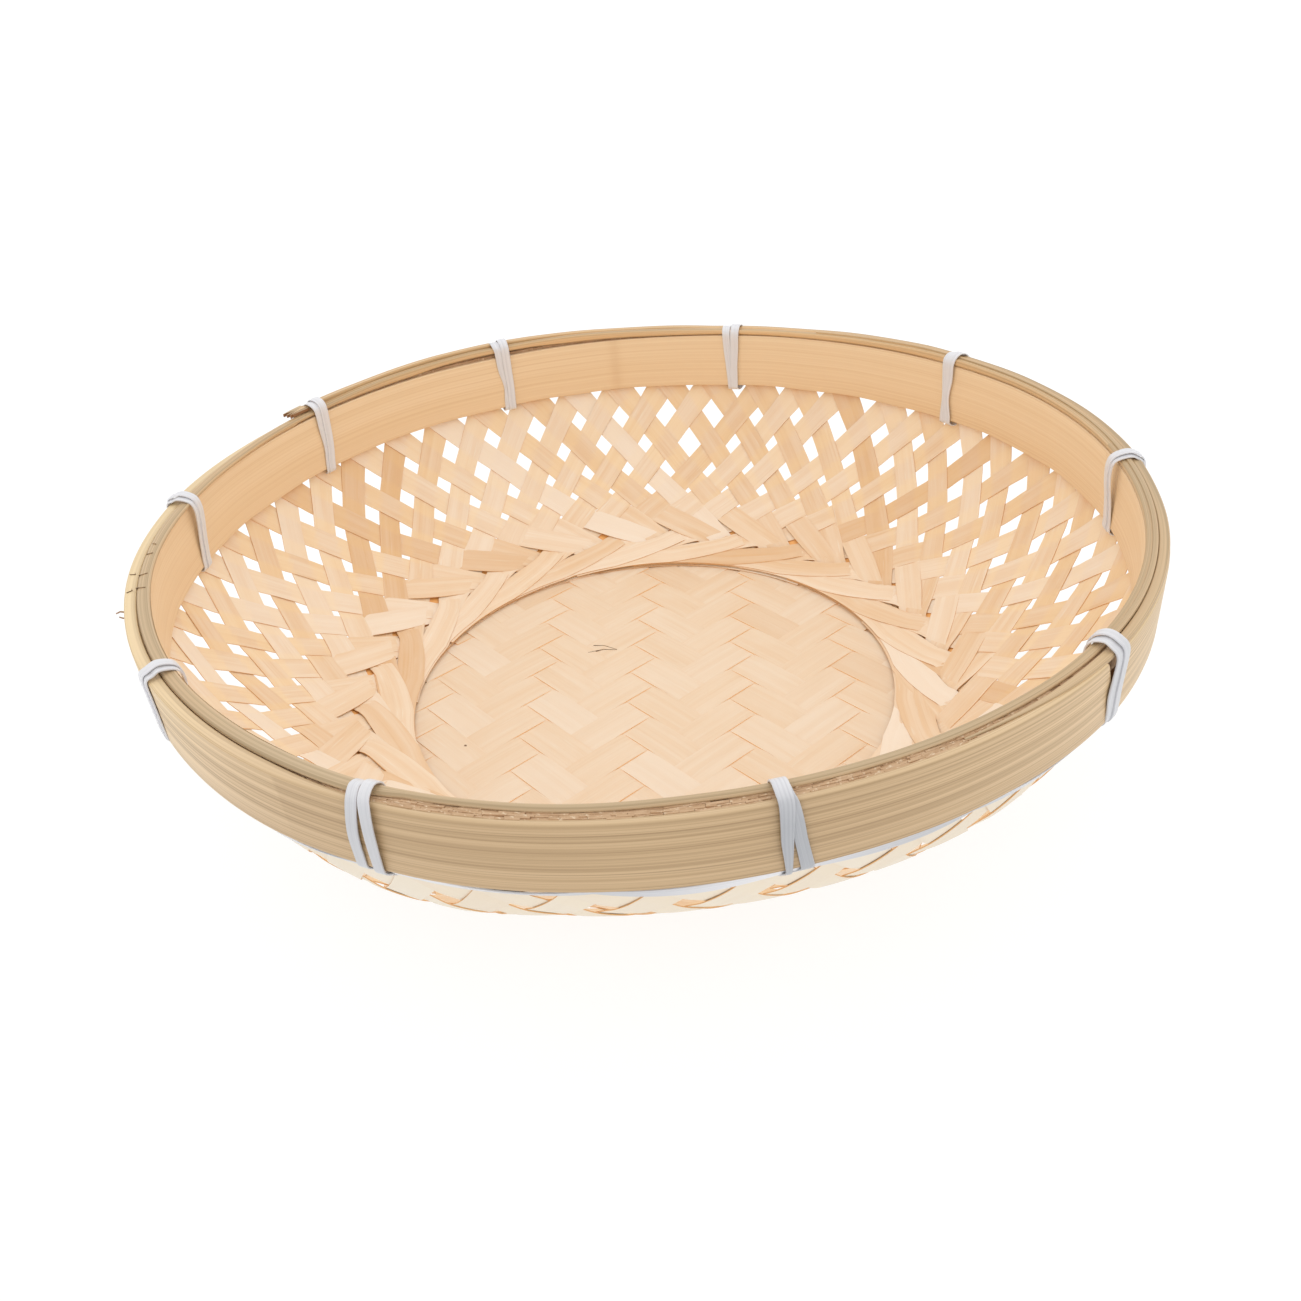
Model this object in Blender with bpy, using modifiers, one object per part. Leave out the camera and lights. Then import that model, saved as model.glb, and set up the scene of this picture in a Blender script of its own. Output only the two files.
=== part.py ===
"""Round bamboo winnowing basket.

A floor of wide splits in a twill turns up into a bowl-shaped lattice wall. The wall's cut ends are
held between a tall outer hoop and a tall inner hoop, a half-round cap strip covers the top of the
joint, and a flat plastic strip is wrapped twice around the rim at each of ten stations and runs
along the outside of the wall from one station to the next.

Metres, +Z up. The origin is the centre of the floor's underside, which stands on the ground.
"""
import bpy
import bmesh
from math import asin, atan2, cos, degrees, hypot, pi, radians, sin

# Rim, from the outside in
RIM_RADIUS = 0.1500           # outside of the outer hoop
OUTER_HOOP_THICKNESS = 0.0023
INNER_HOOP_THICKNESS = 0.0018
WEAVE_THICKNESS = 0.0015      # two crossed splits
GAP = 0.0003                  # clearance between touching pieces

# Heights
OUTER_HOOP_BOTTOM = 0.0555
OUTER_HOOP_TOP = 0.0750
INNER_HOOP_BOTTOM = 0.0530
INNER_HOOP_TOP = 0.0744
WEAVE_TOP = 0.0741
HOOP_EDGE_RADIUS = 0.0008     # rounding of the hoops' edges

# Cap strip, a half-round split lying on the inner hoop and the cut ends
CAP_WIDTH = 0.0032
CAP_HEIGHT = 0.0023
CAP_OVERHANG = 0.0002         # how far it stands in past the inner hoop

# Woven body
FLOOR_RADIUS = 0.0818
FLOOR_THICKNESS = 0.0012
WALL_FOOT_RADIUS = 0.0830     # middle of the weave where the floor turns up
WALL_FOOT_HEIGHT = 0.00100
WALL_SAGITTA = 0.0093         # how far the wall bulges out from a straight cone
WALL_STEPS = 10

# Plastic lashing strip
STRIP_WIDTH = 0.0030
STRIP_THICKNESS = 0.0005
STRAND_SPACING = 0.0042       # between the two turns of one tie
STRIP_BEND = 0.0012           # radius where the strip turns over a hoop's edge
RUN_GAP = 0.0004              # from the end of a run to the tie beside it
SLOT_DEPTH = 0.012            # the cutter for a tie's opening, across the wall
SLOT_CLEARANCE = 0.0005       # around the strip in that opening
TIE_ANGLES = (72, 36, -4, -45, -80, -115, -148, -189, -219, -251)  # degrees, spaced by eye

RING_STEPS = 72
ARC_STEPS = 3                 # facets on one rounded corner
SMOOTH_ANGLE = radians(40)

# Worked out from the above
OUTER_HOOP_INNER = RIM_RADIUS - OUTER_HOOP_THICKNESS
WEAVE_OUTER = OUTER_HOOP_INNER - GAP
WEAVE_MIDDLE = WEAVE_OUTER - WEAVE_THICKNESS / 2
INNER_HOOP_OUTER = WEAVE_OUTER - WEAVE_THICKNESS - GAP
INNER_HOOP_INNER = INNER_HOOP_OUTER - INNER_HOOP_THICKNESS
CAP_INNER = INNER_HOOP_INNER - CAP_OVERHANG
CAP_BOTTOM = INNER_HOOP_TOP + GAP
CAP_TOP = CAP_BOTTOM + CAP_HEIGHT
LASHING_HEIGHT = INNER_HOOP_BOTTOM - GAP - STRIP_THICKNESS / 2   # where a tie crosses the wall
RUN_RADIUS = WEAVE_OUTER + GAP   # inner face of the strip between two ties
RUN_BOTTOM = 0.0522


def clear_scene():
    for thing in list(bpy.data.objects):
        bpy.data.objects.remove(thing)


def new_collection(name):
    collection = bpy.data.collections.new(name)
    bpy.context.scene.collection.children.link(collection)
    return collection


def new_material(name, colour, roughness):
    material = bpy.data.materials.new(name)
    material.use_nodes = True
    shader = material.node_tree.nodes["Principled BSDF"]
    shader.inputs["Base Color"].default_value = (*colour, 1.0)
    shader.inputs["Roughness"].default_value = roughness
    shader.inputs["Metallic"].default_value = 0.0
    return material


def add_object(name, mesh, collection, material=None):
    thing = bpy.data.objects.new(name, mesh)
    collection.objects.link(thing)
    if material:
        mesh.materials.append(material)
        mesh.shade_smooth()
    return thing


def outline_mesh(name, points, closed):
    """Edges through points in the XZ plane, given as (radius, height)."""
    mesh = bpy.data.meshes.new(name)
    count = len(points)
    last = count if closed else count - 1
    edges = [(i, (i + 1) % count) for i in range(last)]
    mesh.from_pydata([(r, 0.0, z) for r, z in points], edges, [])
    return mesh


def turn(thing):
    """Turns an outline about the Z axis."""
    screw = thing.modifiers.new("turn", "SCREW")
    screw.axis = "Z"
    screw.steps = RING_STEPS
    screw.render_steps = RING_STEPS
    screw.use_merge_vertices = True
    screw.merge_threshold = 0.00001
    screw.use_smooth_shade = True


def thicken(thing, thickness, offset):
    solidify = thing.modifiers.new("thickness", "SOLIDIFY")
    solidify.thickness = thickness
    solidify.offset = offset
    solidify.use_even_offset = True


def corner(centre_r, centre_z, radius, start, end):
    """Points on a rounded corner, angles in degrees from +X."""
    angles = [radians(start + (end - start) * i / ARC_STEPS) for i in range(ARC_STEPS + 1)]
    return [(centre_r + radius * cos(a), centre_z + radius * sin(a)) for a in angles]


def hoop_outline(inner, outer, bottom, top):
    """A tall lath on edge: rounded at the top, square at the bottom, listed down the outer side."""
    edge = HOOP_EDGE_RADIUS
    points = corner(inner + edge, top - edge, edge, 180, 90)
    points += corner(outer - edge, top - edge, edge, 90, 0)
    return points + [(outer, bottom), (inner, bottom)]


def add_hoop(name, inner, outer, bottom, top, collection, material):
    mesh = outline_mesh(name, hoop_outline(inner, outer, bottom, top), closed=True)
    turn(add_object(name, mesh, collection, material))


def add_cap_strip(collection, material):
    middle = CAP_INNER + CAP_WIDTH / 2
    steps = 2 * ARC_STEPS
    arc = [pi - pi * i / steps for i in range(steps + 1)]
    points = [(middle + CAP_WIDTH / 2 * cos(a), CAP_BOTTOM + CAP_HEIGHT * sin(a)) for a in arc]
    mesh = outline_mesh("cap_strip", points, closed=True)
    turn(add_object("cap_strip", mesh, collection, material))


def wall_outline():
    """Middle of the weave: from the cut ends down between the hoops, then an arc to the floor."""
    top_r, top_z = WEAVE_MIDDLE, INNER_HOOP_BOTTOM - GAP
    foot_r, foot_z = WALL_FOOT_RADIUS, WALL_FOOT_HEIGHT
    chord = hypot(top_r - foot_r, top_z - foot_z)
    radius = (chord ** 2 / 4 + WALL_SAGITTA ** 2) / (2 * WALL_SAGITTA)
    half_turn = asin(chord / 2 / radius)
    slope = atan2(top_z - foot_z, top_r - foot_r)
    centre_r = (top_r + foot_r) / 2 - (radius - WALL_SAGITTA) * sin(slope)
    centre_z = (top_z + foot_z) / 2 + (radius - WALL_SAGITTA) * cos(slope)
    points = [(top_r, WEAVE_TOP)]
    for i in range(WALL_STEPS + 1):
        angle = slope - pi / 2 + half_turn * (1 - 2 * i / WALL_STEPS)
        points.append((centre_r + radius * cos(angle), centre_z + radius * sin(angle)))
    return points


def add_woven_wall(collection, material, slots):
    wall = add_object("woven_wall", outline_mesh("woven_wall", wall_outline(), closed=False),
                      collection, material)
    turn(wall)
    thicken(wall, WEAVE_THICKNESS, 0.0)
    cut = wall.modifiers.new("lashing_slots", "BOOLEAN")
    cut.operation = "DIFFERENCE"
    cut.solver = "EXACT"
    cut.operand_type = "COLLECTION"
    cut.collection = slots


def add_woven_base(collection, material):
    bpy.ops.mesh.primitive_cylinder_add(vertices=RING_STEPS, radius=FLOOR_RADIUS,
                                        depth=FLOOR_THICKNESS,
                                        location=(0, 0, FLOOR_THICKNESS / 2))
    base = bpy.context.object
    base.name = base.data.name = "woven_base"
    for old in list(base.users_collection):
        old.objects.unlink(base)
    collection.objects.link(base)
    base.data.materials.append(material)
    base.data.shade_smooth()
    base.data.set_sharp_from_angle(angle=SMOOTH_ANGLE)


def add_slot(number, angle, slots):
    """The opening that both turns of a tie pass through, just under the inner hoop."""
    width = STRAND_SPACING + STRIP_WIDTH + 2 * SLOT_CLEARANCE
    height = STRIP_THICKNESS + 2 * SLOT_CLEARANCE
    bpy.ops.mesh.primitive_cube_add(size=1.0)
    slot = bpy.context.object
    slot.name = slot.data.name = f"slot_{number:02d}"
    for old in list(slot.users_collection):
        old.objects.unlink(slot)
    slots.objects.link(slot)
    slot.scale = (SLOT_DEPTH, width, height)
    slot.rotation_euler = (0, 0, radians(angle))
    slot.location = (WEAVE_MIDDLE * cos(radians(angle)), WEAVE_MIDDLE * sin(radians(angle)),
                     LASHING_HEIGHT)
    slot.hide_render = True
    slot.display_type = "WIRE"


def turn_outline():
    """Inner face of one turn of the strip around the rim, as a closed loop of (radius, height)."""
    bend = STRIP_BEND
    inside = INNER_HOOP_INNER - 2 * GAP
    outside = RIM_RADIUS + GAP
    over = CAP_TOP + GAP
    under = LASHING_HEIGHT + STRIP_THICKNESS / 2
    cap_shoulder = CAP_INNER + CAP_WIDTH * 3 / 4
    points = corner(inside + bend, over - bend, bend, 180, 90)
    points += [(cap_shoulder, over)]
    points += corner(outside - bend, OUTER_HOOP_TOP - bend / 2, bend, 60, 0)
    points += corner(outside - bend, OUTER_HOOP_BOTTOM, bend, 0, -45)
    points += [(WEAVE_OUTER, under)]
    points += corner(inside + bend / 2, under + bend / 2, bend / 2, 270, 180)
    return points


def add_strand(name, angle, collection, material):
    """One turn of the strip: a closed band around the rim's section, through the wall's slot."""
    form = bmesh.new()
    points = [form.verts.new((r, -STRIP_WIDTH / 2, z)) for r, z in turn_outline()]
    loop = [form.edges.new((a, b)) for a, b in zip(points, points[1:] + points[:1])]
    wide = bmesh.ops.extrude_edge_only(form, edges=loop)
    moved = [v for v in wide["geom"] if isinstance(v, bmesh.types.BMVert)]
    bmesh.ops.translate(form, verts=moved, vec=(0, STRIP_WIDTH, 0))
    bmesh.ops.recalc_face_normals(form, faces=form.faces)
    mesh = bpy.data.meshes.new(name)
    form.to_mesh(mesh)
    form.free()
    strand = add_object(name, mesh, collection, material)
    mesh.set_sharp_from_angle(angle=SMOOTH_ANGLE)
    thicken(strand, STRIP_THICKNESS, 1.0)
    strand.rotation_euler = (0, 0, radians(angle))


def add_run(name, start, end, collection, material):
    """The strip between two ties, flat against the outside of the wall under the outer hoop."""
    steps = max(2, round(abs(end - start) * RING_STEPS / 360 * 2))
    angles = [radians(start + (end - start) * i / steps) for i in range(steps + 1)]
    form = bmesh.new()
    points = [form.verts.new((RUN_RADIUS * cos(a), RUN_RADIUS * sin(a), RUN_BOTTOM)) for a in angles]
    line = [form.edges.new(pair) for pair in zip(points, points[1:])]
    tall = bmesh.ops.extrude_edge_only(form, edges=line)
    moved = [v for v in tall["geom"] if isinstance(v, bmesh.types.BMVert)]
    bmesh.ops.translate(form, verts=moved, vec=(0, 0, STRIP_WIDTH))
    for face in form.faces:
        face.normal_update()
        if face.normal.dot(face.calc_center_median()) < 0:
            face.normal_flip()
    mesh = bpy.data.meshes.new(name)
    form.to_mesh(mesh)
    form.free()
    run = add_object(name, mesh, collection, material)
    mesh.set_sharp_from_angle(angle=SMOOTH_ANGLE)
    thicken(run, STRIP_THICKNESS, 1.0)


def add_lashing(collection, material, slots):
    strand_turn = degrees(STRAND_SPACING / 2 / RIM_RADIUS)
    half_width = STRAND_SPACING / 2 + STRIP_WIDTH / 2 + RUN_GAP
    run_turn = degrees(half_width / RUN_RADIUS)
    following = TIE_ANGLES[1:] + (TIE_ANGLES[0] - 360,)
    for number, (angle, neighbour) in enumerate(zip(TIE_ANGLES, following), start=1):
        add_slot(number, angle, slots)
        add_strand(f"tie_{number:02d}_first_turn", angle + strand_turn, collection, material)
        add_strand(f"tie_{number:02d}_second_turn", angle - strand_turn, collection, material)
        add_run(f"lashing_run_{number:02d}", angle - run_turn, neighbour + run_turn,
                collection, material)


def main():
    clear_scene()
    basket = new_collection("winnowing_basket")
    slots = new_collection("cutters")
    slots.hide_render = True

    weave = new_material("bamboo_split", (0.78, 0.56, 0.36), 0.55)
    hoop = new_material("bamboo_hoop", (0.62, 0.42, 0.23), 0.50)
    inner = new_material("bamboo_inner_hoop", (0.74, 0.49, 0.27), 0.50)
    skin = new_material("bamboo_skin", (0.50, 0.42, 0.26), 0.45)
    strip = new_material("plastic_strip", (0.72, 0.73, 0.76), 0.35)

    add_woven_base(basket, weave)
    add_woven_wall(basket, weave, slots)
    add_hoop("outer_hoop", OUTER_HOOP_INNER, RIM_RADIUS, OUTER_HOOP_BOTTOM, OUTER_HOOP_TOP,
             basket, hoop)
    add_hoop("inner_hoop", INNER_HOOP_INNER, INNER_HOOP_OUTER, INNER_HOOP_BOTTOM, INNER_HOOP_TOP,
             basket, inner)
    add_cap_strip(basket, skin)
    add_lashing(basket, strip, slots)


main()
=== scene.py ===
"""Round bamboo winnowing basket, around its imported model.

The floor is a two-over two-under twill of wide splits. Around it the wall's splits lie in pairs
over each other in a ring, like the blades of a shutter; further up the pairs part and cross in
an open lattice, and their cut ends stand between the two hoops of the rim.

Metres, +Z up. s is the distance down the wall from the inner hoop's lower edge, and h the
distance from the middle of the weave towards the inside of the bowl.
"""
import math

import bpy
import numpy as np
from mathutils import Matrix, Vector


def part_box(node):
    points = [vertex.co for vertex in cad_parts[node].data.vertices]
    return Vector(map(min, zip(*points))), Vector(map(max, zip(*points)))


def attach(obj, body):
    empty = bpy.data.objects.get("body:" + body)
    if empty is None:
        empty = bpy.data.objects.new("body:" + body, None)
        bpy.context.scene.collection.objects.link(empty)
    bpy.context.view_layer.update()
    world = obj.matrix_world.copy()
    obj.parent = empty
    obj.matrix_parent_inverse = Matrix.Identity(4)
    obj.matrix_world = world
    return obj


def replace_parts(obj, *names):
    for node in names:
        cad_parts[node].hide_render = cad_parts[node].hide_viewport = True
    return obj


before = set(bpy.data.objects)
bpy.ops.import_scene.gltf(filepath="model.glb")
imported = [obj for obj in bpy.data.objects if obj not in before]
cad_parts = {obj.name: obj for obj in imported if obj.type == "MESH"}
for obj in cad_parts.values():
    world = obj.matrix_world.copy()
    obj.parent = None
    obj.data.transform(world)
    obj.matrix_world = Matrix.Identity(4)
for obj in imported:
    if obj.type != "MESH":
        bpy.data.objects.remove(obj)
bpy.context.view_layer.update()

MM = 0.001

# ---------------------------------------------------------------- sizes taken from the model
outer_low, outer_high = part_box("outer_hoop")
inner_low, inner_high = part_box("inner_hoop")

RIM_RADIUS = outer_high.x
OUTER_THICKNESS = 2.3 * MM
INNER_THICKNESS = 1.8 * MM
OUTER_INNER_FACE = RIM_RADIUS - OUTER_THICKNESS
INNER_OUTER_FACE = inner_high.x
INNER_FACE = INNER_OUTER_FACE - INNER_THICKNESS
WEAVE_RADIUS = (OUTER_INNER_FACE + INNER_OUTER_FACE) / 2     # middle of the cut ends
FLOOR_EDGE = 82.0 * MM        # edge of the floor that shows inside the ring
CUT_END_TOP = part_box("woven_wall")[1].z
CUT_END_LAYERS = 5

# Wall, an arc from just under the inner hoop to the floor
WALL_TOP = (WEAVE_RADIUS, inner_low.z - 0.3 * MM)
WALL_FOOT = (83.0 * MM, 1.0 * MM)
WALL_SAGITTA = 9.3 * MM
RING_LIFT = 0.75 * MM         # the ring stands on the outer family's ends

# Splits of the wall: each family has SPLITS singles, which lie in pairs near the floor
SPLITS = 50
STEP = 2 * math.pi / SPLITS
SPLIT_THICKNESS = 0.36 * MM
FIRST_ROW = 12.8 * MM         # s of the first row of crossings
# Width of a split and its angle to the line of steepest slope, at each distance s
WIDTH_AT = np.array([(0, 9.9), (6, 9.4), (12, 8.6), (24, 8.4), (36, 8.45), (46, 8.7), (53, 9.2),
                     (58, 9.8), (64, 9.7), (69, 8.6), (73, 8.3), (77, 9.6), (82, 10.3)]) * MM
LEAN_AT = np.array([(0, 33), (16, 35), (32, 35), (40, 39), (48, 41), (58, 49), (67, 55),
                    (72, 59), (76, 67), (80, 78), (84, 90)], float)
WIDTH_AT_FLOOR = WIDTH_AT[-1, 1]
PART_START, PART_END = 55.0 * MM, 73.0 * MM    # where a pair parts into two
RING_RADIUS = FLOOR_EDGE + WIDTH_AT_FLOOR / 2
STATION = 1.5 * MM            # distance between sections of a split

# Floor
FLOOR_STRANDS = 14            # each way
FLOOR_PITCH = 12.3 * MM
FLOOR_WIDTH = 12.28 * MM
FLOOR_THICKNESS = 0.46 * MM
FLOOR_WAVE = 0.31 * MM
FLOOR_PHASE = 0.0             # moves the steps of the twill, in strands
FLOOR_TURN = math.radians(-6)
FLOOR_LEVEL = 0.64 * MM

# Outward bulge of the rim in millimetres, at each angle in degrees
BULGE_AT = np.array([
    (-180, 2.4), (-170, 1.6), (-155, 0.4), (-143, -0.2), (-113, 0.6), (-98, 0.3), (-83, -0.4),
    (-68, 0.4), (-56, 1.6), (-45, 3.0), (-30, 2.9), (-15, 2.4), (0, 2.3), (15, 2.9), (25, 2.3),
    (37, 0.9), (52, 0.0), (67, 0.0), (82, 0.1), (97, 0.7), (112, 1.5), (127, 2.3), (142, 2.8),
    (157, 2.9), (172, 2.9)])
# How far the wall sags outwards below the hoops: degrees, millimetres
BELLY_AT = np.array([(-150, 0), (-135, 1.5), (-122, 2.7), (-112, 2.2), (-102, 0.3), (-92, 0.2),
                     (-82, 0.4), (-72, 1.1), (-55, 2.3), (-40, 1.7), (-25, 0), (180, 0)])
LATTICE_TURN = math.radians(1.0)
UNEVEN = 0.036                # swing of the splits' spacing around the basket, in radians

random = np.random.default_rng(20)


# ---------------------------------------------------------------- mesh building
def add_object(name, data):
    thing = bpy.data.objects.new(name, data)
    bpy.context.scene.collection.objects.link(thing)
    return thing


class Bundle:
    """Many closed ribbons gathered into one mesh, with a UV map in metres and a tone each."""

    def __init__(self):
        self.points, self.quads, self.uvs = [], [], []
        self.tones, self.glows, self.sides = [], [], []
        self.count = 0

    def add(self, top, bottom, across, along, tone=0.0, loop=False, glow=0.0):
        """top and bottom are (stations, columns, 3) grids; across and along give the UV map."""
        n, m = top.shape[:2]
        size = n * m
        index = np.arange(size).reshape(n, m)
        wrap = np.vstack([index, index[:1]]) if loop else index
        upper = quad_rows(wrap)
        step_along = top[min(1, n - 1), m // 2] - top[0, m // 2]
        step_across = top[0, m // 2] - top[0, m // 2 - 1]
        outward = top[0, m // 2] - bottom[0, m // 2]
        if np.dot(np.cross(step_along, step_across), outward) < 0:
            upper = upper[:, ::-1]
            forward = False
        else:
            forward = True
        lower = upper[:, ::-1] + size
        left = side_rows(wrap[:, 0], size, forward)
        right = side_rows(wrap[:, -1], size, not forward)
        sides = [left, right]
        if not loop:
            sides.append(side_rows(index[0], size, not forward))
            sides.append(side_rows(index[-1], size, forward))
        quads = [upper, lower] + sides
        flags = [np.zeros(len(upper)), np.full(len(lower), -1.0)]
        flags += [np.ones(len(part)) for part in sides]
        self.points.append(np.concatenate([top.reshape(-1, 3), bottom.reshape(-1, 3)]))
        self.quads.append(np.concatenate(quads) + self.count)
        self.sides.append(np.concatenate(flags))
        uv = np.stack([np.broadcast_to(across, (n, m)), np.broadcast_to(along, (n, m))], -1)
        self.uvs.append(np.concatenate([uv.reshape(-1, 2)] * 2))
        self.tones.append(np.tile(np.broadcast_to(tone, (n, m)).ravel(), 2))
        self.glows.append(np.tile(np.broadcast_to(glow, (n, m)).ravel(), 2))
        self.count += 2 * size

    def build(self, name, material, sharp=35.0):
        mesh = bpy.data.meshes.new(name)
        points = np.concatenate(self.points)
        quads = np.concatenate(self.quads)
        mesh.from_pydata(points, [], quads.tolist())
        corners = np.empty(len(mesh.loops), np.int32)
        mesh.loops.foreach_get("vertex_index", corners)
        layer = mesh.uv_layers.new(name="grain")
        layer.data.foreach_set("uv", np.concatenate(self.uvs)[corners].ravel())
        tone = mesh.attributes.new("tone", "FLOAT", "POINT")
        tone.data.foreach_set("value", np.concatenate(self.tones))
        glow = mesh.attributes.new("glow", "FLOAT", "POINT")
        glow.data.foreach_set("value", np.concatenate(self.glows))
        side = mesh.attributes.new("side", "FLOAT", "FACE")
        side.data.foreach_set("value", np.concatenate(self.sides))
        mesh.shade_smooth()
        mesh.set_sharp_from_angle(angle=math.radians(sharp))
        mesh.materials.append(material)
        piece = add_object(name, mesh)
        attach(piece, "root")
        return piece


def quad_rows(index):
    a, b = index[:-1, :-1].ravel(), index[1:, :-1].ravel()
    c, d = index[1:, 1:].ravel(), index[:-1, 1:].ravel()
    return np.stack([a, b, c, d], 1)


def side_rows(line, size, flip):
    a, b = line[:-1], line[1:]
    quads = np.stack([a, a + size, b + size, b], 1)
    return quads[:, ::-1] if flip else quads


def smooth(x, low, high):
    t = np.clip((x - low) / (high - low), 0, 1)
    return t * t * (3 - 2 * t)


def bulge(theta):
    """Outward offset of the rim at the angle theta, in metres."""
    degrees = np.degrees(theta)
    steps = np.arange(-12, 13, 4)
    spread = [np.interp(degrees + step, BULGE_AT[:, 0], BULGE_AT[:, 1], period=360)
              for step in steps]
    return np.mean(spread, axis=0) * MM


def ripple(theta, amplitude, waves, seed):
    """A smooth uneven wave that closes on itself around the basket."""
    own = np.random.default_rng(seed)
    total = 0 * theta
    for wave in waves:
        total = total + own.uniform(0.4, 1) * np.sin(wave * theta + own.uniform(0, 6.28))
    return amplitude * total / math.sqrt(len(waves))


COLUMNS = np.array([-0.5, -0.47, -0.2, 0.2, 0.47, 0.5])
CROWN = np.array([-0.22, 0.0, 0.03, 0.03, 0.0, -0.22])     # of the thickness, at each column


# ---------------------------------------------------------------- the wall's surface
class Wall:
    """Radius, height and inward normal of the middle of the weave, for any s."""

    def __init__(self):
        (top_r, top_z), (foot_r, foot_z) = WALL_TOP, WALL_FOOT
        chord = math.hypot(top_r - foot_r, top_z - foot_z)
        self.arc = (chord ** 2 / 4 + WALL_SAGITTA ** 2) / (2 * WALL_SAGITTA)
        half = math.asin(chord / 2 / self.arc)
        slope = math.atan2(top_z - foot_z, top_r - foot_r)
        rise = self.arc - WALL_SAGITTA
        self.centre_r = (top_r + foot_r) / 2 - rise * math.sin(slope)
        self.centre_z = (top_z + foot_z) / 2 + rise * math.cos(slope)
        self.top_turn = slope - math.pi / 2 + half
        self.length = 2 * half * self.arc

    def at(self, s):
        turn = self.top_turn - np.clip(s, 0, self.length) / self.arc
        over = np.maximum(s - self.length, 0)
        above = np.maximum(-s, 0)
        r = self.centre_r + self.arc * np.cos(turn) - over * np.cos(turn + math.pi / 2)
        z = self.centre_z + self.arc * np.sin(turn) + above
        z = z + RING_LIFT * smooth(s, 66 * MM, 80 * MM)
        upright = smooth(above, 0, 4 * MM)
        nr = -np.cos(turn) * (1 - upright) - upright
        nz = -np.sin(turn) * (1 - upright)
        length = np.hypot(nr, nz)
        return r, z, nr / length, nz / length

    def place(self, s, theta, h):
        r, z, nr, nz = self.at(s)
        theta = theta + LATTICE_TURN + UNEVEN * np.sin(2 * theta - math.pi)
        share = np.clip((r - FLOOR_EDGE) / (WEAVE_RADIUS - FLOOR_EDGE), 0, 1)
        sag = np.interp(np.degrees(theta), BELLY_AT[:, 0], BELLY_AT[:, 1], period=360) * MM
        h = h - sag * np.sin(math.pi * np.clip((s / MM - 3) / 50, 0, 1))
        out = r + nr * h + bulge(theta) * share
        return np.stack([out * np.cos(theta), out * np.sin(theta), z + nz * h], -1)


wall = Wall()


def lean(s):
    """Angle between a split and the wall's line of steepest slope."""
    return np.radians(np.interp(s / MM, LEAN_AT[:, 0], LEAN_AT[:, 1]))


def trace_split():
    """One split's middle line from the cut end to its hidden end in the ring: s and turn."""
    stride = 0.1 * MM
    s, turn, run = WALL_TOP[1] - CUT_END_TOP, 0.0, 0.0
    line = [(s, turn, run)]
    beyond = 0.0
    while beyond < math.radians(24):
        r = float(wall.at(np.array(s))[0])
        if r > RING_RADIUS:
            angle = float(lean(np.array(s)))
            s += stride * math.cos(angle)
            turn += stride * math.sin(angle) / r
        else:
            turn += stride / r
            beyond += stride / r
        run += stride
        line.append((s, turn, run))
    return np.array(line)


trace = trace_split()
first = np.searchsorted(trace[:, 0], FIRST_ROW)
trace[:, 1] += STEP - trace[first, 1]


def phase(s):
    return np.interp(s, trace[:, 0], trace[:, 1])


def parting(s):
    """1 where the two splits of a pair stand a full step apart, near 0 where they are stacked."""
    t = np.clip((s - PART_START) / (PART_END - PART_START), 0, 1)
    return 1 - 0.9 * t ** 1.35


def interlace(row):
    """+1 where the clockwise family is on the inside, -1 where it is behind."""
    plain = -np.cos(np.pi * row)
    ring = -np.cos(np.pi * np.clip(row - 7.5, 0, 1))
    side = np.where(row < 6, plain, ring)
    return np.tanh(2.2 * side) / math.tanh(2.2)


def split_width(s):
    return np.interp(s, WIDTH_AT[:, 0], WIDTH_AT[:, 1])


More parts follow.
